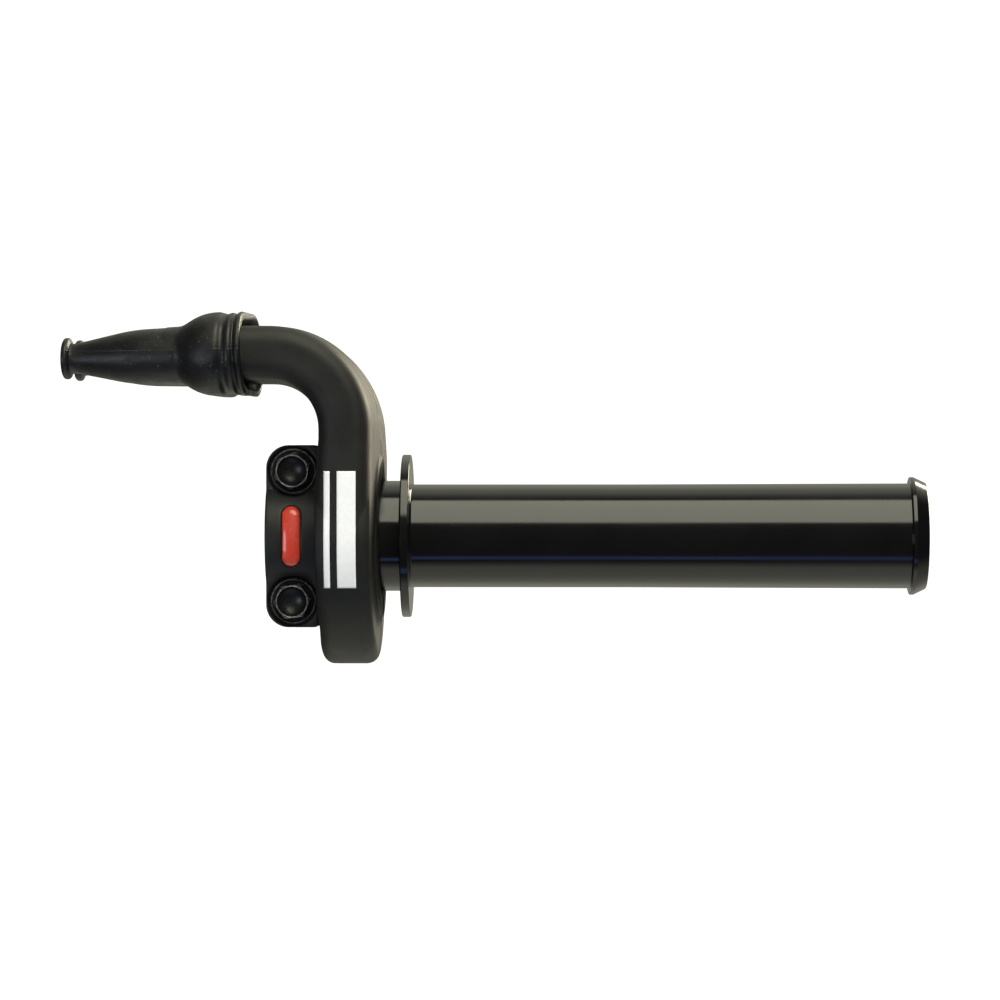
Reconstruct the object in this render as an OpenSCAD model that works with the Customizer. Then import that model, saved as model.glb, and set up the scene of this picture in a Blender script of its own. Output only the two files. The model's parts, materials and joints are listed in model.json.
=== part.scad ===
// Motorcycle twist throttle for a 22 mm handlebar: a twist tube with its cable drum, a two-shell
// housing with an elbow duct for two cables, a split clamp and a rubber cable boot.
// Frame: origin at the centre of the handlebar clamp bore, +X outboard along the handlebar,
// +Z up towards the elbow, -Y towards the rider. Millimetres.

/* [Handlebar clamp] */
// Radius of the clamp bore, for a handlebar of 22.2 mm
clamp_bore_r = 11.15; // [11.1:0.05:11.3]
// Width of the clamp along the handlebar
clamp_w = 13.7; // [13.3:0.1:14]
// Height of the clamp over both ears
clamp_h = 47.4; // [45:0.5:52]
// Distance from the bore's centre to each clamp bolt
bolt_z = 16.9; // [16.5:0.1:18]
// Gap between the clamp cap and the saddle when clamped
clamp_gap = 1.2; // [0.6:0.1:2]

/* [Housing] */
// Outer radius of the drum housing
drum_r = 33.5; // [33:0.5:36]
// Width of the drum housing at its hub
drum_w = 15.6; // [15.5:0.1:16]
// Middle plane of the housing, along the handlebar
mid_x = 14.85; // [14.8:0.05:15.1]
// Wall thickness of the shells
wall = 2.4; // [2:0.1:2.8]

/* [Elbow] */
// Radius of the elbow's centre line
bend_r = 19.5; // [19:0.5:21]
// Height of the outlet's centre line above the handlebar axis
outlet_z = 47; // [46:0.5:50]
// Straight length of the outlet after the bend
outlet_l = 16; // [14:0.5:18]
// Distance between the two cables
cable_pitch = 14; // [12:0.5:14]

/* [Twist tube] */
// Outer radius of the grip sleeve
sleeve_r = 13.5; // [13.3:0.1:14]
// Bore radius of the tube
tube_bore_r = 11.4; // [11.35:0.05:11.6]
// Length of the tube from its flange to its outer end
sleeve_l = 136.75; // [110:0.25:140]
// Radius of the hand flange
flange_r = 21.3; // [19:0.1:23]

/* [Rubber boot] */
// Length of the boot from its rim to its tips
boot_l = 47.6; // [45:0.1:54]
// Angle at which the boot is bent back, away from the rider
boot_skew = 5.5; // [0:0.5:7]
// Bore radius of each leg, for a cable cover of 5 mm
leg_bore_r = 2.6; // [2.5:0.05:2.8]

/* [Hidden] */
$fn = 96;
reach = 200;

// Housing section
drum_half = drum_w / 2;
hub_r = 24;
rim_half = 7.1;
rim_round = 3.2;
front_draft = 2.3;
rear_draft = 0.5;
inner_x = mid_x - drum_half + wall;
outer_x = mid_x + drum_half - wall;
tube_hole_r = 15.8;
bar_hole_r = 11.6;
collar_r = 21;
collar_h = 0.6;

// Elbow duct: its section is a drafted oblong, its depth is counted from the split towards the rider
bend_x = mid_x - bend_r;
bend_z = outlet_z - bend_r;
duct_front_half = 6.65;
duct_split_half = 7.9;
duct_back = 3.6;
duct_mid = (drum_r + duct_back) / 2;
duct_front_round = 4.5;
duct_back_round = 5.5;
duct_rear = 26;
back_slope = 40.3;
chine_slope = 47.6;
chine_d = 20.4;
outlet_x = bend_x - outlet_l;

// Clamp
ear_round = 6;
ear_half = clamp_h / 2;
bolt_x = 0.15;
clamp_r = 16.6;
ear_seat = 8.8;
seat_r = 6.5;
saddle_back = 14.5;
bolt_hole_r = 3.3;
thread_r = 2.45;
flange_bolt_r = 5.8;
flange_bolt_t = 1.6;
hex_af = 8.4;
hex_h = 4.4;
bolt_l = 20;
insert_r = 4;
insert_l = 9;
insert_bore_r = 2.5;

// Housing screws, M3: one under the drum, one beside the cables in the neck. Each has its x and z,
// then how far its boss reaches towards the rider and away from them
screw_at = [[mid_x, -27.8, 11.6, 11.6], [17.8, 33.5, 8, 12.4]];
boss_r = 3.4;
screw_r = 1.4;
screw_hole_r = 1.7;
screw_head_r = 2.4;
screw_head_t = 2;
screw_seat = 5;
seat_hole_r = 2.6;
nut_r = 2.1;
nut_l = 6;

// Moving parts along the axis, between the two thrust washers
washer_t = 0.8;
play = 0.3;
tube_start = inner_x + washer_t + play;
collar_t = 2.4;
tube_collar_end = outer_x - washer_t - play;
tube_collar_start = tube_collar_end - collar_t;
tube_collar_r = 19;
root_r = 14.45;
spigot_r = 13.6;
dog_r = 15.4;
dog_w = 5;
dog_count = 4;
flange_x = 28.2;
flange_t = 2.25;
end_x = flange_x + sleeve_l;
taper_x = 88;
sleeve_end_r = 13.75;
ridge_r = 15.4;
ridge_w = 1;
cone_l = 3.2;

// Cable drum
rim_r = 23.8;
groove_r = 21.3;
groove_half = 0.9;
groove_flare = 0.3;
groove_x = [12.2, 15];
nipple_r = 2.9;
nipple_at_r = 19.9;
nipple_angle = [195, -32];

// Boot
boot_x = -9.9;
boot_mouth = 5;
bulge_r = 10.6;
leg_root_r = 7.3;
leg_mid_r = 6.6;
leg_tip_r = 4;
lip_neck = 4;
lip_r = 5.3;
lip_w = 1.8;
boot_fit = 0.1;

// Marks
badge_w = 4.6;
badge_l = 15.6;
badge_depth = 1;
badge_rise = 0.5;
badge_fit = 0.05;
decal_t = 0.12;
decal_low = -13;
decal_high = 16.7;
stripes = [[9.6, 11.2], [13, 17.8]];

function unit(v) = v / norm(v);

// A convex outline whose corners are rounded with true arcs
module rounded_outline(corners, radii) {
    n = len(corners);
    arms = [for (i = [0:n - 1]) [unit(corners[(i + n - 1) % n] - corners[i]),
        unit(corners[(i + 1) % n] - corners[i])]];
    half = [for (a = arms) acos(a[0] * a[1]) / 2];
    polygon([for (i = [0:n - 1]) each radii[i] > 0
        ? [corners[i] + arms[i][0] * radii[i] / tan(half[i]), corners[i] + arms[i][1] * radii[i] / tan(half[i])]
        : [corners[i]]]);
    for (i = [0:n - 1])
        if (radii[i] > 0)
            translate(corners[i] + unit(arms[i][0] + arms[i][1]) * radii[i] / sin(half[i]))
                circle(r = radii[i]);
}

// Turns a shape built up +Z so that it lies along +X
module along_x() rotate([0, 90, 0]) children();

// Turns a shape built up +Z so that it points at the rider, along -Y
module to_rider() rotate([90, 0, 0]) children();

// A ring or disc about the handlebar axis, from x0 to x1
module disc(r, x0, x1) along_x() translate([0, 0, x0]) cylinder(r = r, h = x1 - x0);

module ring(r_out, r_in, x0, x1) {
    difference() {
        disc(r_out, x0, x1);
        disc(r_in, x0 - 1, x1 + 1);
    }
}

// Everything on the rider's side of the split
module front_space() translate([-reach / 2, -reach, -reach / 2]) cube(reach);

// Side walls of the outer form: they lean in by the mould's draft on both sides of the split
module draft_form(rise) {
    lean = drum_r * tan(front_draft);
    rear_lean = drum_r * tan(rear_draft);
    half = drum_half + rise;
    translate([mid_x, 0, -reach / 2]) linear_extrude(reach)
        polygon([[-half, 0], [lean - half, -drum_r - 1], [half - lean, -drum_r - 1], [half, 0],
            [half - rear_lean, drum_r + 1], [rear_lean - half, drum_r + 1]]);
}

// Turned drum of the housing, drawn in by g all round
module drum_form(g) {
    along_x() rotate_extrude()
        intersection() {
            rounded_outline([[-drum_r, mid_x - drum_half + g], [hub_r, mid_x - drum_half + g],
                [drum_r - g, mid_x - rim_half + g], [drum_r - g, mid_x + rim_half - g],
                [hub_r, mid_x + drum_half - g], [-drum_r, mid_x + drum_half - g]],
                [0, 0, rim_round - g / 2, rim_round - g / 2, 0, 0]);
            translate([0, -reach / 2]) square(reach);
        }
}

// Half width of the duct at a depth
function duct_half(d) = duct_split_half - (duct_split_half - duct_front_half) / drum_r * max(d, 0);

// Section of the duct, across and in depth, with its rear edge at the given depth
module duct_section(g, rear, rear_round) {
    front_half = duct_front_half - g;
    rear_half = duct_half(rear) - g;
    rounded_outline([[bend_r - rear_half, rear + g], [bend_r - front_half, drum_r - g],
        [bend_r + front_half, drum_r - g], [bend_r + rear_half, rear + g]],
        [rear_round, duct_front_round - g, duct_front_round - g, rear_round]);
}

// Sweeps a duct section up the neck and round the bend
module sweep_neck() {
    translate([bend_x, 0, 0]) linear_extrude(bend_z) mirror([0, 1]) children();
    translate([bend_x, 0, bend_z]) to_rider() rotate_extrude(angle = 90) children();
}

// Straight outlet of the duct, from the bend to x
module outlet(g, x) {
    translate([bend_x, 0, bend_z]) rotate([0, -90, 0]) linear_extrude(bend_x - x)
        mirror([0, 1]) duct_section(g, duct_back, duct_back_round - g);
}

// Everything in front of the neck's slanted back and the bend's chine
module back_slopes(g) {
    rotate([back_slope, 0, 0]) translate([-reach / 2, drum_r - g - reach, -reach / 2]) cube(reach);
}

module chine(g) {
    rotate([0, -45, 0]) rotate([chine_slope, 0, 0])
        translate([-reach / 2, chine_d - g - reach, -reach / 2]) cube(reach);
}

// Neck, bend and outlet together, drawn in by g; a form that is drawn in runs out through the mouth
module neck_form(g) {
    sweep_neck() duct_section(g, duct_back, duct_back_round - g);
    outlet(g, outlet_x - max(g, 0));
    intersection() {
        sweep_neck() duct_section(g, -duct_rear, 0);
        back_slopes(g);
        chine(g);
    }
}

// Form of the whole housing, drawn in by g; only the outside has the draft
module housing_form(g) {
    if (g > 0)
        drum_form(g);
    else
        intersection() {
            drum_form(g);
            draft_form(-g);
        }
    neck_form(g);
}

module at_screws() for (s = screw_at) translate([s[0], 0, s[1]]) to_rider() children();

// Bosses of one shell: the front shell's point at the rider, with side 1, the rear shell's away, with side 0
module screw_bosses(side) {
    for (s = screw_at)
        translate([s[0], 0, s[1]]) rotate([side ? 90 : -90, 0, 0]) cylinder(r = boss_r, h = side ? s[2] : s[3]);
}

// Holes for the handlebar and for the tube
module axis_holes() {
    disc(bar_hole_r, mid_x - drum_half - 1, mid_x);
    disc(tube_hole_r, mid_x, mid_x + drum_half + collar_h + 1);
}

module tube_collar() {
    intersection() {
        disc(collar_r, outer_x, mid_x + drum_half + collar_h);
        draft_form(collar_h);
    }
}

// Both shells in one, hollow
module shells() {
    difference() {
        housing_form(0);
        housing_form(wall);
    }
    tube_collar();
}

module front_housing() {
    color("#2d2c2a")
        difference() {
            union() {
                intersection() {
                    shells();
                    front_space();
                }
                screw_bosses(1);
            }
            axis_holes();
            at_screws() translate([0, 0, -1]) cylinder(r = nut_r, h = nut_l + 1.5);
        }
}

// Ears of the clamp, seen from the rider
module ear_outline() {
    rounded_outline([[-clamp_w / 2, -ear_half], [clamp_w / 2, -ear_half], [clamp_w / 2, ear_half],
        [-clamp_w / 2, ear_half]], [ear_round, 1, 1, ear_round]);
}

module at_bolts() for (z = [-bolt_z, bolt_z]) translate([bolt_x, 0, z]) to_rider() children();

module saddle() {
    intersection() {
        rotate([-90, 0, 0]) translate([0, 0, clamp_gap / 2]) linear_extrude(clamp_r) ear_outline();
        union() {
            disc(clamp_r, -clamp_w, clamp_w);
            translate([-clamp_w, 0, -ear_half]) cube([2 * clamp_w, saddle_back, clamp_h]);
        }
    }
    translate([0, clamp_gap / 2, -hub_r + 4]) cube([mid_x - drum_half + 0.5, 10, 2 * hub_r - 8]);
}

module rear_housing() {
    color("#282725")
        difference() {
            union() {
                difference() {
                    shells();
                    front_space();
                }
                screw_bosses(0);
                saddle();
            }
            axis_holes();
            disc(clamp_bore_r, -clamp_w, mid_x - drum_half + 0.01);
            at_bolts() translate([0, 0, -clamp_gap / 2 - insert_l]) cylinder(r = insert_r, h = insert_l + 1);
            at_bolts() translate([0, 0, -saddle_back + 1.5]) cylinder(r = bolt_hole_r, h = saddle_back);
            at_screws() translate([0, 0, -reach / 4]) cylinder(r = screw_hole_r, h = reach / 2);
            at_screws() translate([0, 0, -reach / 4]) cylinder(r = seat_hole_r, h = reach / 4 - screw_seat);
        }
}

module badge_form(grow, depth) {
    for (z = [-1, 1])
        translate([0, 0, z * (badge_l - badge_w) / 2]) to_rider() cylinder(r = badge_w / 2 + grow, h = depth);
    translate([-badge_w / 2 - grow, -depth, -(badge_l - badge_w) / 2])
        cube([badge_w + 2 * grow, depth, badge_l - badge_w]);
}

module clamp_cap() {
    color("#1c1c1c")
        difference() {
            intersection() {
                to_rider() translate([0, 0, clamp_gap / 2]) linear_extrude(clamp_r) ear_outline();
                union() {
                    disc(clamp_r, -clamp_w, clamp_w);
                    translate([-clamp_w, -ear_seat - 2.4, -ear_half]) cube([2 * clamp_w, ear_seat + 2.4, clamp_h]);
                }
            }
            disc(clamp_bore_r, -clamp_w, clamp_w);
            at_bolts() cylinder(r = bolt_hole_r, h = reach);
            at_bolts() translate([0, 0, ear_seat]) cylinder(r = seat_r, h = reach);
            difference() {
                badge_form(badge_fit, clamp_r);
                disc(clamp_r - badge_depth - badge_fit, -clamp_w, clamp_w);
            }
        }
}

module badge() {
    color("#b3261e")
        intersection() {
            difference() {
                badge_form(0, clamp_r + 1);
                disc(clamp_r - badge_depth, -clamp_w, clamp_w);
            }
            disc(clamp_r + badge_rise, -clamp_w, clamp_w);
        }
}

module clamp_bolts() {
    color("#161616")
        at_bolts() difference() {
            union() {
                translate([0, 0, ear_seat]) cylinder(r = flange_bolt_r, h = flange_bolt_t);
                translate([0, 0, ear_seat]) cylinder(d = hex_af / cos(30), h = flange_bolt_t + hex_h, $fn = 6);
                translate([0, 0, ear_seat - bolt_l]) cylinder(r = thread_r, h = bolt_l);
            }
            translate([0, 0, ear_seat + flange_bolt_t + hex_h - 1.2]) cylinder(r1 = 2.4, r2 = 3.7, h = 1.3);
        }
}

module clamp_inserts() {
    color("#b08d3c")
        at_bolts() translate([0, 0, -clamp_gap / 2 - insert_l])
            difference() {
                cylinder(r = insert_r, h = insert_l);
                translate([0, 0, -1]) cylinder(r = insert_bore_r, h = insert_l + 2);
            }
}

module housing_screws() {
    color("#8d8f92")
        at_screws() difference() {
            union() {
                translate([0, 0, -screw_seat]) cylinder(r = screw_r, h = screw_seat + nut_l - 0.5);
                translate([0, 0, -screw_seat - screw_head_t]) cylinder(r = screw_head_r, h = screw_head_t);
            }
            translate([0, 0, -screw_seat - screw_head_t - 1]) cylinder(d = 2 / cos(30), h = 2.2, $fn = 6);
        }
}

module housing_inserts() {
    color("#b08d3c")
        at_screws() translate([0, 0, 0.2]) difference() {
            cylinder(r = nut_r, h = nut_l);
            translate([0, 0, -1]) cylinder(r = screw_r + 0.05, h = nut_l + 2);
        }
}

module dogs(r, w, x0, x1) {
    for (i = [0:dog_count - 1])
        rotate([i * 360 / dog_count, 0, 0]) translate([x0, -w / 2, spigot_r - 1]) cube([x1 - x0, w, r - spigot_r + 1]);
}

module throttle_tube() {
    ridge_x = end_x - cone_l - ridge_w;
    color("#0d0d0e")
        difference() {
            union() {
                disc(spigot_r, tube_start, tube_collar_start + 1);
                dogs(dog_r, dog_w, tube_start, tube_collar_start + 1);
                disc(tube_collar_r, tube_collar_start, tube_collar_end);
                disc(root_r, tube_collar_start, flange_x + 1);
                along_x() rotate_extrude()
                    rounded_outline([[5, flange_x], [flange_r, flange_x], [flange_r, flange_x + flange_t],
                        [5, flange_x + flange_t]], [0, 0.8, 0.8, 0]);
                along_x() rotate_extrude()
                    polygon([[5, flange_x + 1], [sleeve_r, flange_x + 1], [sleeve_r, taper_x],
                        [sleeve_end_r, ridge_x], [ridge_r, ridge_x], [ridge_r, ridge_x + ridge_w],
                        [sleeve_end_r + 0.1, end_x], [5, end_x]]);
            }
            disc(tube_bore_r, 0, end_x + 1);
        }
}

// A sector of a ring about the handlebar axis; angles run from -Y up over +Z
module sector(r, x0, x1, from, to) {
    along_x() rotate([0, 0, -90 - to]) rotate_extrude(angle = to - from) translate([0, x0]) square([r, x1 - x0]);
}

module groove_outline(x) {
    polygon([[groove_r, x - groove_half], [rim_r + 1, x - groove_half - groove_flare],
        [rim_r + 1, x + groove_half + groove_flare], [groove_r, x + groove_half]]);
}

module cable_drum() {
    color("#d8d6cc")
        difference() {
            disc(rim_r, tube_start, tube_collar_start);
            disc(spigot_r + 0.05, 0, mid_x * 2);
            dogs(dog_r + 0.1, dog_w + 0.2, 0, mid_x * 2);
            for (x = groove_x)
                along_x() rotate_extrude() groove_outline(x);
            difference() {
                sector(rim_r + 2, 0, mid_x * 2, -140, -25);
                disc(groove_r - 3.8, 0, mid_x * 2);
            }
            for (i = [0, 1])
                rotate([nipple_angle[i], 0, 0]) translate([groove_x[i] - 2.3 + i, nipple_at_r, 0])
                    along_x() cylinder(r = nipple_r, h = 3.6);
        }
}

module inner_thrust_washer() {
    color("#e4e1d6") ring(20, bar_hole_r, inner_x, inner_x + washer_t);
}

module outer_thrust_washer() {
    color("#e4e1d6") ring(20, root_r + play, outer_x - washer_t, outer_x);
}

// Slide block on the inside of the bend, with one groove for each cable
module cable_guide() {
    crest_r = bend_r - 1.1;
    ends = [duct_mid - 11, duct_mid + 11];
    feet = [for (d = ends) bend_r - duct_half(d) + wall + play];
    color("#e4e1d6")
        translate([bend_x, 0, bend_z]) to_rider() rotate([0, 0, 3]) rotate_extrude(angle = 84)
            difference() {
                polygon([[feet[0], ends[0]], [crest_r, ends[0]], [crest_r, ends[1]], [feet[1], ends[1]]]);
                for (s = [-1, 1])
                    translate([bend_r - 0.2, duct_mid + s * cable_pitch / 2]) circle(r = 1.5);
            }
}

// Two stepped seats for the cables' ferrules, inside the outlet
module cable_stop() {
    stop_l = 11;
    stop_r = 4.1;
    spread = 7.6;
    color("#9a9c9e")
        translate([outlet_x, -duct_mid, outlet_z]) along_x() difference() {
            union() {
                for (s = [-1, 1])
                    translate([0, s * spread, 0]) cylinder(r = stop_r, h = stop_l);
                translate([-stop_r, -spread, 0]) cube([2 * stop_r, 2 * spread, stop_l]);
            }
            for (s = [-1, 1])
                translate([0, s * cable_pitch / 2, -1]) {
                    cylinder(r = 3.05, h = 9);
                    cylinder(r = 1.2, h = stop_l + 2);
                }
        }
}

// Places the boot's own frame: +Z runs from the rim to the tips
module at_boot() translate([boot_x, -duct_mid, outlet_z]) rotate([0, 0, -boot_skew]) rotate([0, -90, 0]) children();

// A turned profile drawn apart by the cable pitch, so that it has an oblong section
module oblong_turn() {
    for (s = [-1, 1])
        translate([0, s * cable_pitch / 2, 0]) rotate_extrude() children();
    for (m = [0, 1])
        mirror([m, 0, 0]) translate([0, cable_pitch / 2, 0]) rotate([90, 0, 0]) linear_extrude(cable_pitch) children();
}

module at_legs() at_boot() for (s = [-1, 1]) translate([0, s * cable_pitch / 2, 0]) children();

module cable_boot() {
    shoulder = 18;
    leg_mid = 31;
    color("#1b1b1c")
        difference() {
            union() {
                at_boot() oblong_turn() polygon([[0, 0], [10.4, 0], [10.6, 1], [10.3, 2], [10.3, 4],
                    [bulge_r, 6], [bulge_r, 9], [10.2, 11.5], [9.5, 14], [8.3, 16],
                    [leg_root_r, shoulder], [0, shoulder]]);
                at_legs() rotate_extrude() polygon([[0, shoulder - 1], [leg_root_r, shoulder - 1],
                    [leg_root_r, 23], [leg_mid_r, leg_mid], [leg_tip_r, boot_l - lip_neck],
                    [leg_tip_r, boot_l - lip_w], [lip_r, boot_l - lip_w], [lip_r, boot_l], [0, boot_l]]);
            }
            translate([boot_mouth, 0, 0]) outlet(-boot_fit, outlet_x - boot_mouth - 1);
            at_legs() translate([0, 0, 8]) cylinder(r = leg_bore_r, h = boot_l);
        }
}

// Two plain stripes that lie on the front of the housing
module stripe_decal() {
    color("#f2f2f0")
        intersection() {
            difference() {
                housing_form(-decal_t);
                housing_form(0);
            }
            for (s = stripes)
                translate([s[0], -2 * drum_r, decal_low]) cube([s[1] - s[0], 1.5 * drum_r, decal_high - decal_low]);
        }
}

front_housing();
rear_housing();
clamp_cap();
clamp_bolts();
clamp_inserts();
housing_screws();
housing_inserts();
throttle_tube();
cable_drum();
inner_thrust_washer();
outer_thrust_washer();
cable_guide();
cable_stop();
cable_boot();
badge();
stripe_decal();
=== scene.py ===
"""Looks of a motorcycle throttle grip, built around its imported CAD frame. Lengths are in millimetres
until a mesh is made, and X, Y and Z are the frame's: outboard, away from the rider, up."""

import json
import math

import bmesh
import bpy
from mathutils import Matrix, Vector
from mathutils.bvhtree import BVHTree


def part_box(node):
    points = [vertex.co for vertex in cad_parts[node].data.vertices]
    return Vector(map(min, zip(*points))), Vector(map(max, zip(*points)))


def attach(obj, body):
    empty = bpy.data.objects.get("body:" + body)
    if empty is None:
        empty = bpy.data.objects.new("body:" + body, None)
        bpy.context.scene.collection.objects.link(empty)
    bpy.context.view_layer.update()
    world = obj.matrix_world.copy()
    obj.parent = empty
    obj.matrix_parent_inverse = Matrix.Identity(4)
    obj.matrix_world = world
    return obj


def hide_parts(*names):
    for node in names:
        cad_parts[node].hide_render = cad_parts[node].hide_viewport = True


MM = 0.001
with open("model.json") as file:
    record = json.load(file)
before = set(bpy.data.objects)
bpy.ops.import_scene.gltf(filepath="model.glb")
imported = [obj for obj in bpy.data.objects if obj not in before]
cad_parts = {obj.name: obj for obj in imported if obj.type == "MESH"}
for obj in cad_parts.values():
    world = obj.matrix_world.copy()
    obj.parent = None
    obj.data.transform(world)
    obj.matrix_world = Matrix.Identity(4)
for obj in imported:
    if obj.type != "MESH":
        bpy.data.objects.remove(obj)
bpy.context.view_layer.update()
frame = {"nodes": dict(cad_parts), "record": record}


# ---------------------------------------------------------------- places taken from the frame

def box_mm(name):
    """The two corners of a CAD node's box."""
    low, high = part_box(name)
    return Vector(low) / MM, Vector(high) / MM


def mount_mm(name):
    """A mount's place, direction and radius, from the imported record."""
    mount = next(m for m in frame["record"]["mounts"] if m["name"] == name)
    return Vector(mount["pos_m"]) / MM, Vector(mount["axis"]), mount["dims"]["r_mm"]


TUBE_LOW, TUBE_HIGH = box_mm("throttle_tube")
SHELL_LOW, SHELL_HIGH = box_mm("front_housing")
BOLTS_LOW, BOLTS_HIGH = box_mm("clamp_bolts")
BOLT_R = (BOLTS_HIGH.x - BOLTS_LOW.x) / 2
BOLT_X = (BOLTS_HIGH.x + BOLTS_LOW.x) / 2
BOLT_Z = BOLTS_HIGH.z - BOLT_R
BADGE_LOW, BADGE_HIGH = box_mm("badge")
DECAL_LOW, DECAL_HIGH = box_mm("stripe_decal")
BORE_R = mount_mm("tube_bore")[2]
SLEEVE_R = mount_mm("grip_seat")[2]
FRONT_ENTRY, ENTRY_AXIS, ENTRY_R = mount_mm("front_cable_entry")
REAR_ENTRY = mount_mm("rear_cable_entry")[0]
BOOT_SKEW = math.asin(ENTRY_AXIS.y)
BOOT_RIM = Vector((-9.9, -18.55, FRONT_ENTRY.z))
LEG_OFF = (REAR_ENTRY - FRONT_ENTRY).length / 2


# ---------------------------------------------------------------- outlines

def limit(value):
    """The value, kept within 0 to 1."""
    return min(max(value, 0), 1)


def turns(count):
    """The angles of points spaced evenly round a circle."""
    return [math.tau * k / count for k in range(count)]


def rounded(corners, steps=5):
    """An outline from (point, radius) corners, each turned into an arc of its radius; 0 keeps it."""
    result = []
    for i, (point, radius) in enumerate(corners):
        here = Vector(point)
        if not radius:
            result.append(here)
            continue
        back = (Vector(corners[i - 1][0]) - here).normalized()
        ahead = (Vector(corners[(i + 1) % len(corners)][0]) - here).normalized()
        half = back.angle(ahead) / 2
        centre = here + (back + ahead).normalized() * radius / math.sin(half)
        start = here + back * radius / math.tan(half) - centre
        end = here + ahead * radius / math.tan(half) - centre
        for k in range(steps + 1):
            result.append(centre + start.slerp(end, k / steps).normalized() * radius)
    return result


def oblong(radius, half_pitch, count=96):
    """Two half circles of the radius, half_pitch on either side of the middle, as (across, up) pairs."""
    return [(radius * math.cos(turn) + math.copysign(half_pitch, math.cos(turn)), radius * math.sin(turn))
            for turn in turns(count)]


# ---------------------------------------------------------------- mesh helpers

def add_object(name, mesh):
    piece = bpy.data.objects.new(name, mesh)
    bpy.context.scene.collection.objects.link(piece)
    return piece


def make_piece(name, points, faces):
    """A smooth mesh object from points in millimetres."""
    mesh = bpy.data.meshes.new(name)
    mesh.from_pydata([Vector(p) * MM for p in points], [], faces)
    mesh.validate()
    build = bmesh.new()
    build.from_mesh(mesh)
    bmesh.ops.recalc_face_normals(build, faces=build.faces)
    build.to_mesh(mesh)
    build.free()
    mesh.shade_smooth()
    return add_object(name, mesh)


def lathe(name, outline, segments):
    """A closed outline of (x, r) turned about the handlebar axis."""
    points, faces = [], []
    count = len(outline)
    for turn in turns(segments):
        points += [(x, r * math.cos(turn), r * math.sin(turn)) for x, r in outline]
    for k in range(segments):
        here, there = k * count, (k + 1) % segments * count
        faces += [(here + i, here + (i + 1) % count, there + (i + 1) % count, there + i)
                  for i in range(count)]
    return make_piece(name, points, faces)


def loft(name, rings):
    """A skin through rings with the same number of points, with both ends closed."""
    count = len(rings[0])
    points = [p for ring in rings for p in ring]
    faces = []
    for k in range(len(rings) - 1):
        here, there = k * count, (k + 1) * count
        faces += [(here + i, here + (i + 1) % count, there + (i + 1) % count, there + i)
                  for i in range(count)]
    faces += [tuple(range(count)), tuple(range(len(points) - count, len(points)))]
    return make_piece(name, points, faces)


def join(name, pieces):
    """One object from several."""
    build = bmesh.new()
    for piece in pieces:
        build.from_mesh(piece.data)
        bpy.data.objects.remove(piece)
    mesh = bpy.data.meshes.new(name)
    build.to_mesh(mesh)
    build.free()
    mesh.shade_smooth()
    return add_object(name, mesh)


def modify(piece, kind, **settings):
    modifier = piece.modifiers.new(kind.lower(), kind)
    for key, value in settings.items():
        setattr(modifier, key, value)


def bake_modifiers(piece):
    """Turns the piece's modifiers into its mesh."""
    graph = bpy.context.evaluated_depsgraph_get()
    mesh = bpy.data.meshes.new_from_object(piece.evaluated_get(graph))
    piece.modifiers.clear()
    piece.data = mesh
    mesh.shade_smooth()


def combine(piece, others, operation):
    """Joins the others to the piece, or cuts them out of it, and deletes them."""
    for other in others:
        modify(piece, "BOOLEAN", operation=operation, solver="EXACT", object=other)
        bake_modifiers(piece)
        bpy.data.objects.remove(other)


def shade_by_angle(piece, angle):
    """Keeps edges above the angle sharp, and lets large faces set the shading of their corners."""
    piece.data.set_sharp_from_angle(angle=math.radians(angle))
    modify(piece, "WEIGHTED_NORMAL", weight=100, keep_sharp=True)


def soften(piece, voxel, passes, keep, reshape=None):
    """Rounds every edge as a mould does: an even mesh, smoothed, reshaped, and thinned to a part of
    its faces."""
    modify(piece, "REMESH", mode="VOXEL", voxel_size=voxel * MM, use_smooth_shade=True)
    modify(piece, "SMOOTH", factor=0.5, iterations=passes)
    if reshape:
        bake_modifiers(piece)
        reshape(piece.data)
    modify(piece, "DECIMATE", ratio=keep)
    bake_modifiers(piece)


def moulded(cad_name, name, voxel, passes, keep, reshape=None):
    """A softened copy of a CAD node that stands for it."""
    piece = add_object(name, frame["nodes"][cad_name].data.copy())
    soften(piece, voxel, passes, keep, reshape)
    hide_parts(cad_name)
    return piece


# ---------------------------------------------------------------- shader helpers

def new_material(name, **sockets):
    """A Principled material; each keyword sets the socket of that name."""
    material = bpy.data.materials.new(name)
    material.use_nodes = True
    shader = material.node_tree.nodes["Principled BSDF"]
    for key, value in sockets.items():
        shader.inputs[key.replace("_", " ")].default_value = value
    return material


def node(owner, kind, inputs=None, **settings):
    """A node in a material or a world, with numbers put in its inputs and outputs linked to them."""
    tree = owner.node_tree
    made = tree.nodes.new(kind)
    for key, value in settings.items():
        setattr(made, key, value)
    for key, value in (inputs or {}).items():
        if isinstance(value, bpy.types.NodeSocket):
            tree.links.new(value, made.inputs[key])
        else:
            made.inputs[key].default_value = value
    return made


def link(material, output, socket):
    tree = material.node_tree
    tree.links.new(output, tree.nodes["Principled BSDF"].inputs[socket])


def calculate(owner, operation, *values):
    """One step of arithmetic on numbers or other nodes' outputs."""
    return node(owner, "ShaderNodeMath", dict(enumerate(values)), operation=operation).outputs[0]


def place(owner, kind="Object"):
    """Coordinates of the shaded point."""
    return node(owner, "ShaderNodeTexCoord").outputs[kind]


def axes(owner, vector):
    """The vector's X, Y and Z."""
    return node(owner, "ShaderNodeSeparateXYZ", {0: vector}).outputs


def noise(material, scale, detail=3.0, stretch=(1, 1, 1)):
    """Noise whose features are about 1/scale metres, drawn out along the axes."""
    mapped = node(material, "ShaderNodeMapping", {"Vector": place(material), "Scale": stretch})
    sockets = {"Vector": mapped.outputs[0], "Scale": scale, "Detail": detail}
    return node(material, "ShaderNodeTexNoise", sockets).outputs["Fac"]


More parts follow.
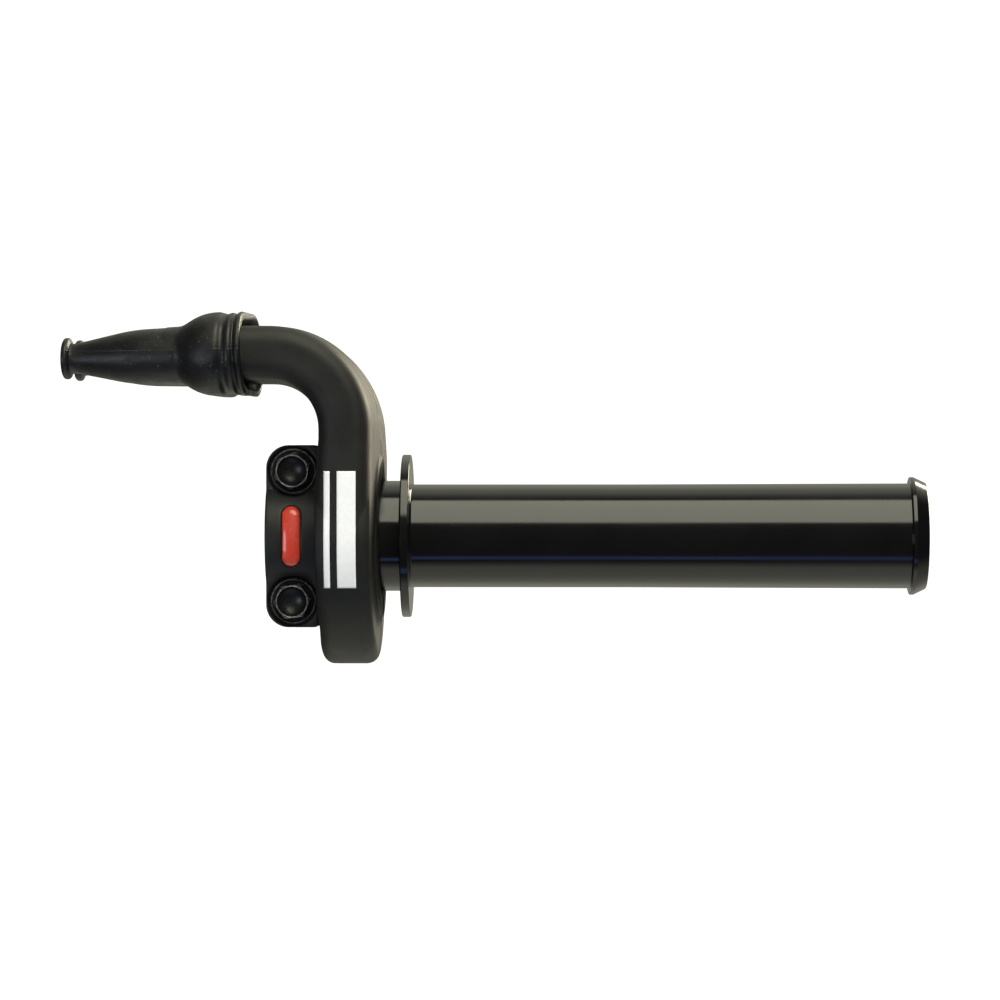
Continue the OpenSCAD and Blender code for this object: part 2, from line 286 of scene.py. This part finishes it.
def spread(owner, value, low, high, start=0.3, stop=0.7):
    """Maps start..stop, by default most of a noise, to low..high."""
    sockets = {"Value": value, "From Min": start, "From Max": stop, "To Min": low, "To Max": high}
    return node(owner, "ShaderNodeMapRange", sockets).outputs[0]


def tint(material, value, low, high):
    """Mixes two colours; the low one may be another node's output."""
    if not isinstance(low, bpy.types.NodeSocket):
        low = (*low, 1)
    first_colour, second_colour, result = 6, 7, 2
    sockets = {"Factor": value, first_colour: low, second_colour: (*high, 1)}
    return node(material, "ShaderNodeMix", sockets, data_type="RGBA").outputs[result]


def cloud(material, scale, detail, low, high):
    """A soft mottle between two colours."""
    return tint(material, spread(material, noise(material, scale, detail), 0, 1), low, high)


def bump(material, layers):
    """Stacks bumps, each a (height, depth in millimetres) pair."""
    normal = None
    for height, depth in layers:
        inputs = {"Height": height, "Distance": depth * MM, "Strength": 1.0}
        if normal is not None:
            inputs["Normal"] = normal
        normal = node(material, "ShaderNodeBump", inputs).outputs[0]
    link(material, normal, "Normal")


def scratches(material, scale, stretch):
    """Thin broken lines along one direction."""
    return spread(material, noise(material, scale, 2.0, stretch), 0, 1, 0.72, 0.8)


# ---------------------------------------------------------------- materials

def housing_plastic():
    made = new_material("housing_plastic", IOR=1.45)
    mottle = noise(made, 160, 4.0)
    dark, light = (0.008, 0.0078, 0.0072), (0.0135, 0.013, 0.012)
    link(made, tint(made, spread(made, mottle, 0, 1), dark, light), "Base Color")
    link(made, spread(made, mottle, 0.50, 0.60), "Roughness")
    bump(made, [(noise(made, 5200, 2.0), 0.012), (scratches(made, 300, (1, 1, 14)), -0.006)])
    return made


def clamp_plastic():
    made = new_material("clamp_plastic", IOR=1.5)
    link(made, cloud(made, 220, 3.0, (0.009, 0.009, 0.009), (0.014, 0.014, 0.014)), "Base Color")
    link(made, spread(made, noise(made, 90, 4.0), 0.42, 0.54), "Roughness")
    bump(made, [(noise(made, 3800, 2.0), 0.006), (noise(made, 260, 2.0), 0.02)])
    return made


def tube_plastic():
    made = new_material("tube_plastic", IOR=1.5)
    link(made, cloud(made, 60, 3.0, (0.0035, 0.0035, 0.0038), (0.0055, 0.0055, 0.006)), "Base Color")
    link(made, spread(made, noise(made, 120, 5.0, (0.25, 1, 1)), 0.10, 0.17), "Roughness")
    bump(made, [(noise(made, 70, 2.0, (0.3, 1, 1)), 0.02), (scratches(made, 500, (0.05, 1, 1)), -0.002)])
    return made


def boot_rubber():
    """Dusty black rubber, with a raised mould line along the middle of its height."""
    line_up, line_half, line_end = 0.6, 0.05, 0.22
    made = new_material("boot_rubber", IOR=1.5)
    _, _, up = axes(made, place(made))
    away = calculate(made, "ABSOLUTE", calculate(made, "SUBTRACT", up, (BOOT_RIM.z + line_up) * MM))
    line = spread(made, away, 1, 0, line_half * MM, line_end * MM)
    base = cloud(made, 130, 4.0, (0.006, 0.006, 0.0064), (0.010, 0.010, 0.0106))
    dust = spread(made, noise(made, 1300, 1.0), 0, 1, 0.70, 0.76)
    link(made, tint(made, dust, base, (0.06, 0.06, 0.06)), "Base Color")
    link(made, spread(made, noise(made, 300, 5.0), 0.34, 0.52), "Roughness")
    bump(made, [(noise(made, 420, 3.0), 0.05), (noise(made, 1500, 3.0), 0.02), (line, 0.05)])
    return made


def bolt_coating():
    """Black coating, rubbed through in places on the edges outside the dish; the pale rubbed edges are also
    a painted highlight along the head's edges and round the dish's rim.
    """
    dish_r, bare_r = 3.0, 3.4
    made = new_material("bolt_coating", Metallic=0.3)
    x, _, z = axes(made, place(made))
    spot = node(made, "ShaderNodeCombineXYZ", {0: x, 1: calculate(made, "ABSOLUTE", z)})
    to_axis = {0: spot.outputs[0], 1: (BOLT_X * MM, BOLT_Z * MM, 0)}
    away = node(made, "ShaderNodeVectorMath", to_axis, operation="DISTANCE").outputs["Value"]
    rubbed_and_highlight = spread(made, away, 0, 1, dish_r * MM, bare_r * MM)
    edge = node(made, "ShaderNodeNewGeometry").outputs["Pointiness"]
    patches = noise(made, 1400)
    for part in (spread(made, edge, 0, 1, 0.52, 0.57), spread(made, patches, 0.3, 1, 0.3, 0.6)):
        rubbed_and_highlight = calculate(made, "MULTIPLY", rubbed_and_highlight, part)
    # The pale tint on convex edges is partly wear and partly a painted highlight on the head's edges and the
    # dish's rim.
    link(made, tint(made, rubbed_and_highlight, (0.013, 0.013, 0.0125), (0.42, 0.42, 0.40)), "Base Color")
    link(made, spread(made, noise(made, 900, 4.0), 0.24, 0.42), "Roughness")
    bump(made, [(noise(made, 2600, 3.0), 0.01)])
    return made


def turned_metal(name, low, high):
    made = new_material(name, Metallic=1.0)
    link(made, cloud(made, 400, 3.0, low, high), "Base Color")
    link(made, spread(made, noise(made, 1500, 3.0, (8, 1, 1)), 0.2, 0.35), "Roughness")
    bump(made, [(noise(made, 2500, 2.0, (10, 1, 1)), 0.004)])
    return made


def acetal():
    made = new_material("acetal", IOR=1.48, Subsurface_Weight=0.15, Subsurface_Scale=0.002)
    link(made, cloud(made, 120, 3.0, (0.66, 0.64, 0.56), (0.76, 0.74, 0.67)), "Base Color")
    link(made, spread(made, noise(made, 700, 3.0), 0.32, 0.45), "Roughness")
    bump(made, [(noise(made, 3000, 2.0), 0.005)])
    return made


def badge_enamel():
    made = new_material("badge_enamel", Coat_Weight=0.8, Coat_Roughness=0.06, IOR=1.5)
    link(made, cloud(made, 200, 3.0, (0.64, 0.055, 0.03), (0.68, 0.062, 0.034)), "Base Color")
    link(made, spread(made, noise(made, 900), 0.24, 0.28), "Roughness")
    bump(made, [(noise(made, 250, 2.0), 0.004)])
    return made


def print_white():
    made = new_material("print_white", IOR=1.46)
    link(made, cloud(made, 900, 3.0, (0.90, 0.90, 0.90), (0.95, 0.95, 0.95)), "Base Color")
    link(made, spread(made, noise(made, 1200, 3.0), 0.32, 0.44), "Roughness")
    bump(made, [(noise(made, 5200, 2.0), 0.006)])
    return made


def dress(piece, material, body="housing"):
    """Gives a new piece its material and its body."""
    piece.data.materials.clear()
    piece.data.materials.append(material)
    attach(piece, body)


def dress_node(name, material):
    """Gives a CAD node its material and breaks its sharp edges."""
    edge_width, sharp_from = 0.12, 35
    cad = frame["nodes"][name]
    if not cad.data.materials:
        cad.data.materials.append(material)
    for material_slot in cad.material_slots:
        material_slot.material = material
    modify(cad, "BEVEL", width=edge_width * MM, segments=2, limit_method="ANGLE",
           angle_limit=math.radians(sharp_from))


# ---------------------------------------------------------------- twist tube

def make_tube():
    """The turned outline of the tube, with its mould lines, and the dogs that hold the cable drum."""
    start, end = TUBE_LOW.x, TUBE_HIGH.x
    flange_r = TUBE_HIGH.z
    spigot_r, collar_r, root_r = 13.6, 19, 14.45
    collar_start, collar_end = start + 6.2, start + 8.6
    flange, flange_end = 28.2, 30.45
    widening, far_r, foot_r = 88, SLEEVE_R + 0.11, 13.75
    ridge, ridge_end, ridge_r, tip_r = end - 4.2, end - 3.2, 15.4, 13.85

    def mould_line(x, r):
        depth, half = 0.018, 0.09
        return [((x - half, r), 0), ((x, r - depth), 0), ((x + half, r), 0)]

    corners = [((start, BORE_R), 0.3), ((start, spigot_r), 0.3), ((collar_start, spigot_r), 0),
               ((collar_start, collar_r), 0.2), ((collar_end, collar_r), 0.2),
               ((collar_end, root_r), 0.2), ((flange, root_r), 0.5), ((flange, flange_r), 0.35),
               ((flange_end, flange_r), 0.35), ((flange_end, SLEEVE_R), 0.7)]
    corners += mould_line(43.3, SLEEVE_R) + [((widening, SLEEVE_R), 0)] + mould_line(120.1, far_r)
    corners += [((ridge, foot_r), 0.3), ((ridge, ridge_r), 0.15), ((ridge_end, ridge_r), 0.2),
                ((end, tip_r), 0.35), ((end, BORE_R), 0.4)]
    tube = lathe("twist_tube", rounded(corners), 224)
    combine(tube, make_dogs(start + 0.3, collar_start + 0.5), "UNION")
    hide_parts("throttle_tube")
    dress(tube, tube_plastic(), "twist_tube")
    shade_by_angle(tube, 40)


def make_dogs(start, end):
    """Four square ribs on the tube's spigot."""
    half, root, top, number = 2.5, 12, 15.4, 4
    section = [(-half, root), (half, root), (half, top), (-half, top)]
    dogs = []
    for turn in turns(number):
        dog = loft("dog", [[(x, y, z) for y, z in section] for x in (start, end)])
        dog.data.transform(Matrix.Rotation(turn, 4, "X"))
        dogs.append(dog)
    return dogs


# ---------------------------------------------------------------- clamp bolts

def bolt_rings():
    """The rings of one bolt, from the end of its shank to the bottom of the dish in its head."""
    seat, top, shank_end = 8.8, -BOLTS_LOW.y, -BOLTS_HIGH.y
    shank_r, pitch, thread_depth, thread_start = 2.45, 1.0, 0.3, shank_end + 0.3
    across_flats, corner_trim = 8.4, 0.14
    dish_r, dish_depth, dish_steps = 3.85, 2.3, 9
    least_r, whole = 0.001, math.inf

    def hexagon(turn):
        """The head's radius at an angle."""
        step = math.tau / 6
        off = (turn + step / 2) % step - step / 2
        corner = across_flats / 2 / math.cos(math.pi / 6)
        return min(across_flats / 2 / math.cos(off), corner - corner_trim)

    def ring(radius, depth, hexagonal=False):
        points = []
        for turn in turns(96):
            r = max(min(radius, hexagon(turn)) if hexagonal else radius, least_r)
            points.append((r * math.cos(turn), -depth, r * math.sin(turn)))
        return points

    shank = [(0, shank_end), (shank_r - 0.5, shank_end)]
    for k in range(int((seat - 1.5 - shank_end) / pitch)):
        shank += [(shank_r - thread_depth, thread_start + k * pitch),
                  (shank_r, thread_start + (k + 0.5) * pitch)]
    shank += [(shank_r - 0.1, seat - 1.2), (shank_r, seat)]
    flange = [(BOLT_R - 0.4, seat), (BOLT_R, seat + 0.25), (BOLT_R, seat + 0.75),
              (BOLT_R - 0.3, seat + 1.05), (BOLT_R - 1.0, seat + 1.3)]
    head = [(whole, seat + 1.75), (whole, seat + 2.0), (whole, top - 1.2), (whole, top - 0.9),
            (4.65, top - 0.7), (4.4, top - 0.35), (4.15, top - 0.06)]
    rim = [(4.05, top), (3.9, top - 0.06)]
    falls = [math.pi / 2 * k / dish_steps for k in range(dish_steps + 1)]
    dish = [(dish_r * math.cos(a), top - 0.12 - dish_depth * math.sin(a)) for a in falls]
    return ([ring(*spot) for spot in shank + flange] + [ring(*spot, hexagonal=True) for spot in head]
            + [ring(*spot) for spot in rim + dish])


def make_bolts():
    """Two flange bolts with dished hexagon heads, each turned by its own angle."""
    rings = bolt_rings()
    pieces = []
    for side, turn in ((1, 0.15), (-1, 0.42)):
        bolt = loft("bolt", rings)
        seat = Matrix.Translation(Vector((BOLT_X, 0, side * BOLT_Z)) * MM)
        bolt.data.transform(seat @ Matrix.Rotation(turn, 4, "Y"))
        pieces.append(bolt)
    bolts = join("flange_bolts", pieces)
    shade_by_angle(bolts, 32)
    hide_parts("clamp_bolts")
    dress(bolts, bolt_coating())


# ---------------------------------------------------------------- housing and clamp

def shape_front_shell(mesh):
    """Draws the walls in at the split, so that the joint shows as a fine line, and swells the drum's
    inboard side, most at the level of the handlebar."""
    reach, depth, flat = 2.4, 0.5, 0.8
    swell, swell_half, swell_start, swell_run, swell_edge = 1.1, 25, -18, 6, 1.5
    normals = [vertex.normal.copy() for vertex in mesh.vertices]
    for vertex, normal in zip(mesh.vertices, normals):
        spot = vertex.co / MM
        near_split = 1 - (SHELL_HIGH.y - spot.y) / reach
        if near_split > 0 and abs(normal.y) < flat:
            vertex.co -= Vector((normal.x, 0, normal.z)).normalized() * depth * near_split * MM
        forward = limit((swell_start - spot.y) / swell_run)
        level = max(1 - (spot.z / swell_half) ** 2, 0)
        inboard = limit(-normal.x * swell_edge)
        vertex.co.x -= swell * forward * level * inboard * MM


def make_shells():
    """Both halves of the housing and the clamp's cap; returns the front one."""
    plastic = housing_plastic()
    front = moulded("front_housing", "front_shell", 0.3, 4, 0.3, shape_front_shell)
    dress(front, plastic)
    rear = moulded("rear_housing", "rear_shell", 0.3, 12, 0.3)
    dress(rear, plastic)
    cap = moulded("clamp_cap", "clamp_half", 0.25, 14, 0.5)
    dress(cap, clamp_plastic())
    return front


# ---------------------------------------------------------------- rubber boot

def boot_point(along, across, up):
    """A point in the boot's skewed frame: along runs from its rim to its tips, across runs in depth."""
    c, s = math.cos(BOOT_SKEW), math.sin(BOOT_SKEW)
    return (BOOT_RIM.x - along * c + across * s, BOOT_RIM.y + along * s + across * c, BOOT_RIM.z + up)


def body_ring(along, radius):
    """A ring round both legs, tilted at the rim and sagging a little towards the tips."""
    tilt, tilt_run = 0.045, 9
    drop = 0.1 + 0.02 * along
    lean = tilt * max(0, 1 - along / tilt_run)
    return [boot_point(along + lean * up, across, up - drop) for across, up in oblong(radius, LEG_OFF)]


def leg_ring(along, radius, side, count, sag=0.0):
    """A ring round one leg."""
    return [boot_point(along, side * LEG_OFF + radius * math.cos(turn), radius * math.sin(turn) - sag)
            for turn in turns(count)]


def boot_hollow():
    """What is cut out of the boot: the seat of the housing's outlet, and a bore through each leg."""
    outlet_half = 7.35
    tip, rim = SHELL_LOW.x, BOOT_RIM.x
    mouth = [(rim + 6, 9.7), (rim + 0.2, 9.3), (rim - 1.6, 8.2), (rim - 2.6, 7.75),
             (tip - 0.8, 7.75), (tip - 3.0, 5.6), (tip - 4.5, 3.0)]
    bore = [(9, 2.9), (42, ENTRY_R), (46.4, ENTRY_R), (47, 2.8), (48.2, 3.6)]
    rings = [[(x, BOOT_RIM.y + across, BOOT_RIM.z + up) for across, up in oblong(r, outlet_half)]
             for x, r in mouth]
    bores = [loft("bore", [leg_ring(s, r, side, 48) for s, r in bore]) for side in (-1, 1)]
    return [loft("hollow", rings)] + bores


def make_boot():
    """A flat sleeve with a ribbed rim and a bulge, and two tapering legs with flanged tips."""
    body = rounded([((0, 9.6), 0), ((0, 10.75), 0.55), ((1.35, 10.75), 0.6), ((1.65, 9.75), 0.35),
                    ((2.15, 9.75), 0.35), ((2.6, 10.5), 0.8), ((3.7, 10.5), 0.8), ((4.2, 10.0), 0.6),
                    ((5.2, 10.0), 0.8), ((6.1, 10.75), 1.2), ((10.9, 10.75), 13), ((16.6, 7.35), 4),
                    ((20.8, 7.2), 1), ((22.5, 5.2), 0)])
    leg = rounded([((15, 6.9), 0), ((18, 7.4), 3), ((29.4, 7.02), 45), ((43.8, 3.95), 6),
                   ((45.7, 3.95), 0.4), ((46.0, 5.35), 0.5), ((47.6, 5.35), 0.6), ((47.6, 4.5), 0)])
    boot = loft("rubber_boot", [body_ring(s, r) for s, r in body])
    legs = [loft("leg", [leg_ring(s, r, side, 64, 0.4 + 0.018 * s) for s, r in leg]) for side in (-1, 1)]
    combine(boot, legs, "UNION")
    combine(boot, boot_hollow(), "DIFFERENCE")
    soften(boot, 0.3, 5, 0.5)
    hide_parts("cable_boot")
    dress(boot, boot_rubber())


# ---------------------------------------------------------------- marks

def make_badge():
    """A domed enamel capsule that follows the round of the clamp cap."""
    dome, foot, sunk, steps = 0.62, -0.9, 0.5, 8
    half_w = (BADGE_HIGH.x - BADGE_LOW.x) / 2
    half_l = (BADGE_HIGH.z - BADGE_LOW.z) / 2
    middle = (BADGE_HIGH + BADGE_LOW) / 2
    crown = -BADGE_LOW.y

    def ring(scale, rise):
        points = []
        for turn in turns(72):
            x = half_w * scale * math.cos(turn)
            z = half_w * scale * math.sin(turn) + math.copysign(half_l - half_w, math.sin(turn))
            points.append((middle.x + x, -math.sqrt(crown ** 2 - z ** 2) + sunk - rise, middle.z + z))
        return points

    climbs = [math.pi / 2 * k / steps for k in range(steps)]
    badge = loft("enamel_badge", [ring(1.0, foot)] + [ring(math.cos(a), dome * math.sin(a)) for a in climbs])
    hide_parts("badge")
    dress(badge, badge_enamel())


def stripe_on(tree, low, high):
    """A stripe from x = low to high, laid on the surface in the tree by rays cast along Y."""
    film, cell, rows, ray_start = 0.05, 0.4, 72, -60
    columns = max(4, round((high - low) / cell))
    points, faces = [], []
    for i in range(rows + 1):
        for j in range(columns + 1):
            x = low + (high - low) * j / columns
            z = DECAL_LOW.z + (DECAL_HIGH.z - DECAL_LOW.z) * i / rows
            hit, normal, _, _ = tree.ray_cast(Vector((x, ray_start, z)) * MM, Vector((0, 1, 0)))
            points.append((hit + normal * film * MM) / MM)
    for i in range(rows):
        for j in range(columns):
            a = i * (columns + 1) + j
            faces.append((a, a + 1, a + columns + 2, a + columns + 1))
    return make_piece("stripe", points, faces)


def make_stripes(front):
    """A narrow and a wide printed stripe on the front shell."""
    narrow, wide, thickness = 1.6, 4.8, 0.06
    tree = BVHTree.FromObject(front, bpy.context.evaluated_depsgraph_get())
    spans = ((DECAL_LOW.x, DECAL_LOW.x + narrow), (DECAL_HIGH.x - wide, DECAL_HIGH.x))
    stripes = join("printed_stripes", [stripe_on(tree, low, high) for low, high in spans])
    modify(stripes, "SOLIDIFY", thickness=thickness * MM, offset=-1)
    bake_modifiers(stripes)
    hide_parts("stripe_decal")
    dress(stripes, print_white())


# ---------------------------------------------------------------- inner pieces

def dress_inner_pieces():
    """The CAD nodes inside the housing, which keep their own meshes."""
    natural = acetal()
    for name in ("cable_drum", "inner_thrust_washer", "outer_thrust_washer", "cable_guide"):
        dress_node(name, natural)
    dress_node("cable_stop", turned_metal("bare_aluminium", (0.55, 0.55, 0.56), (0.66, 0.66, 0.67)))
    brass = turned_metal("brass", (0.55, 0.38, 0.14), (0.68, 0.5, 0.22))
    for name in ("clamp_inserts", "housing_inserts"):
        dress_node(name, brass)
    dress_node("housing_screws", turned_metal("zinc_plate", (0.45, 0.45, 0.46), (0.58, 0.58, 0.57)))


# ---------------------------------------------------------------- studio, whose lights are in metres

def area_light(name, place_at, aim, size, power, colour=(1, 1, 1)):
    lamp = bpy.data.lights.new(name, "AREA")
    lamp.shape = "RECTANGLE"
    lamp.size, lamp.size_y = size
    lamp.energy = power
    lamp.color = colour
    holder = bpy.data.objects.new(name, lamp)
    bpy.context.scene.collection.objects.link(holder)
    holder.location = place_at
    holder.rotation_euler = (Vector(aim) - Vector(place_at)).to_track_quat("-Z", "Y").to_euler()
    return holder


def make_stage():
    """A white floor that curves up all round. It lights nothing and stays out of the reflections."""
    floor_z, floor_r, round_r, wall_r, top, axis_r = -250, 2000, 1000, 3000, 4000, 0.1
    steps, segments = 12, 64
    climbs = [math.pi / 2 * k / steps for k in range(1, steps + 1)]
    outline = [(axis_r, floor_z), (floor_r, floor_z)]
    outline += [(floor_r + round_r * math.sin(a), floor_z + round_r * (1 - math.cos(a))) for a in climbs]
    outline += [(wall_r, top), (axis_r, top)]
    count = len(outline)
    points = [(r * math.cos(turn), r * math.sin(turn), z) for turn in turns(segments) for r, z in outline]
    faces = []
    for k in range(segments):
        here, there = k * count, (k + 1) % segments * count
        faces += [(here + i, here + i + 1, there + i + 1, there + i) for i in range(count - 1)]
    bowl = make_piece("white_bowl", points, faces)
    paper = new_material("white_paper", Base_Color=(0.85, 0.85, 0.85, 1), Roughness=0.9,
                         Emission_Color=(1, 1, 1, 1), Emission_Strength=1.0)
    bowl.data.materials.append(paper)
    bowl.visible_glossy = bowl.visible_diffuse = bowl.visible_shadow = False


def make_sky():
    """Pale behind and below, dark on the rider's side, and dimmer at the far left, right and rear."""
    dark, pale, below_share = 0.045, 0.85, -0.625
    sky = bpy.data.worlds.new("studio")
    sky.use_nodes = True
    x, y, z = axes(sky, place(sky, "Generated"))
    behind = calculate(sky, "MULTIPLY_ADD", calculate(sky, "MINIMUM", z, 0.0), below_share, y)
    rear = spread(sky, y, 1.0, 0.4, 0.75, 1.0)
    right = spread(sky, x, 1.0, 0.35, 0.3, 0.8)
    left = spread(sky, x, 0.08, 1.0, -0.6, -0.15)
    power = spread(sky, behind, dark, pale, 0.0, 0.35)
    for part in (rear, right, left):
        power = calculate(sky, "MULTIPLY", power, part)
    background = sky.node_tree.nodes["Background"]
    background.inputs["Color"].default_value = (1.0, 0.99, 0.84, 1)
    sky.node_tree.links.new(power, background.inputs["Strength"])
    bpy.context.scene.world = sky


def make_lights():
    """Two long lights before the tube, above and below it, a panel on either side, and a fill."""
    middle = Vector((54, 0, 10)) * MM

    def beside_tube(along, away, height):
        """A place in front of the tube, at an angle in degrees above it."""
        lift = math.radians(height)
        return middle + Vector((along, -away * math.cos(lift), away * math.sin(lift)))

    area_light("top_softbox", beside_tube(0.17, 0.8, 57.5), middle + Vector((0.17, 0, 0)), (0.6, 0.86),
               6.6, (1, 0.99, 0.80))
    area_light("right_panel", (0.8, 0.75, 0.4), middle, (0.5, 0.7), 17, (1, 0.91, 0.68))
    area_light("left_panel", (-0.7, -0.9, -0.12), middle, (0.45, 0.35), 2.1, (0.78, 0.87, 1))
    area_light("window", beside_tube(0.2, 0.5, -50), middle + Vector((0.2, 0, 0)), (0.9, 0.06),
               0.17, (0.2, 0.38, 1))
    front_fill = area_light("front_fill", (0.25, -1.2, 0.35), middle, (0.8, 0.8), 9)
    front_fill.visible_glossy = False


def make_camera():
    """Level, a metre off on the rider's side, and turned a little to the left."""
    stand, target = Vector((74.95, -976, 9.4)), Vector((53.7, 0, 9.4))
    camera = bpy.data.objects.new("camera", bpy.data.cameras.new("camera"))
    bpy.context.scene.collection.objects.link(camera)
    camera.location = stand * MM
    camera.rotation_euler = (target - stand).to_track_quat("-Z", "Y").to_euler()
    camera.data.sensor_width = 36
    camera.data.lens = 134
    camera.data.clip_start = 0.02
    camera.data.clip_end = 30
    bpy.context.scene.camera = camera
    bpy.context.scene.view_settings.view_transform = "Standard"


make_camera()
make_stage()
make_sky()
make_lights()
make_tube()
make_bolts()
front_shell = make_shells()
make_boot()
make_badge()
make_stripes(front_shell)
dress_inner_pieces()
